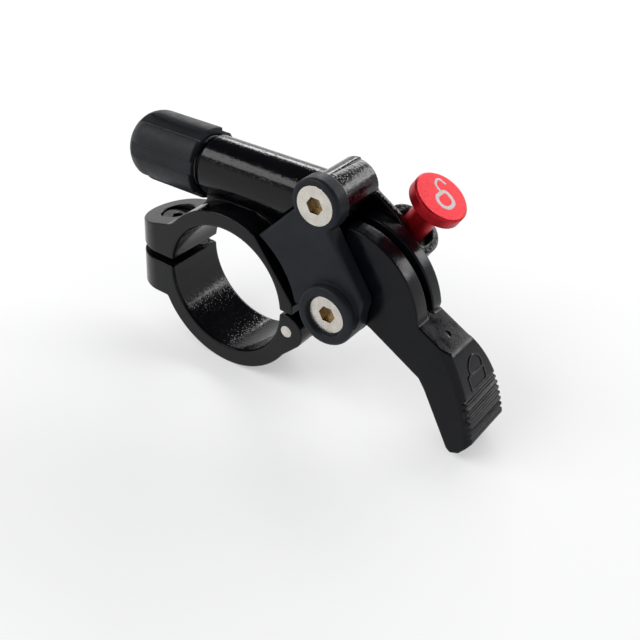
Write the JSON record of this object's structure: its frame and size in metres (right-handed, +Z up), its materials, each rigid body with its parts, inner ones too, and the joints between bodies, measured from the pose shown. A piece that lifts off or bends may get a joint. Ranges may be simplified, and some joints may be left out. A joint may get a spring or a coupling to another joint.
{
  "type": "fork lockout lever",
  "caption": "Handlebar lever that pulls the lockout cable of a suspension fork, with a hinged bar clamp, a push-button release and a cable adjuster.",
  "frame": {"origin": "axis of the handlebar at the middle of the clamp's width", "axes": "+Y along the handlebar, away from the front cover; +X square to it in the plane of the clamp's split, towards the lever; +Z up"},
  "size_m": [0.0687, 0.0206, 0.0396],
  "materials": {
    "anodised_black": "satin black anodised",
    "cover_black": "satin black anodised",
    "lever_black": "fine matt moulded",
    "knob_black": "satin moulded",
    "button_red": "bead-blasted, anodised red",
    "screw_steel": "bright zinc plated",
    "screw_black": "black oxide",
    "spring_steel": "drawn wire",
    "bronze": "turned",
    "washer_black": "smooth",
    "barrel_alloy": "turned",
    "seal_rubber": "matt"
  },
  "bodies": {
    "clamp": {"clamp_body": "anodised_black", "clamp_screw": "screw_black", "clamp_nut": "screw_steel", "front_cover": "cover_black", "top_screw": "screw_steel", "pivot_screw": "screw_steel", "pivot_bush": "bronze", "front_washer": "washer_black", "rear_washer": "washer_black", "return_spring": "spring_steel", "button_spring": "spring_steel", "adjuster_o_ring": "seal_rubber", "adjuster_spring": "spring_steel"},
    "lever": {"lever": "lever_black"},
    "button": {"release_button": "button_red", "latch_peg": "screw_steel"},
    "adjuster": {"adjuster_knob": "knob_black", "adjuster_barrel": "barrel_alloy"},
    "jaw": {"clamp_jaw": "anodised_black", "hinge_pin": "screw_steel"}
  },
  "joints": [
    {"name": "lever_pivot", "type": "hinge", "parent": "clamp", "child": "lever", "pos_m": [0.0203, 0, 0.0047], "axis": [0, 1, 0], "range_deg": [0, 40], "stiffness_Nm_per_rad": 0.05, "springref_deg": -28.65, "deforming": ["return_spring"]},
    {"name": "button_slide", "type": "slide", "parent": "clamp", "child": "button", "axis": [-0.5, 0, -0.866], "range_m": [0, 0.002], "stiffness_N_per_m": 400, "springref_m": -0.002, "deforming": ["button_spring"]},
    {"name": "adjuster_turn", "type": "hinge", "parent": "clamp", "child": "adjuster", "pos_m": [-0.00769, 0.00155, 0.01716], "axis": [0.999, 0, 0.0436], "continuous": true},
    {"name": "jaw_hinge", "type": "hinge", "parent": "clamp", "child": "jaw", "pos_m": [0.01262, 0, -0.0024], "axis": [0, 1, 0], "range_deg": [0, 2.4]}
  ]
}
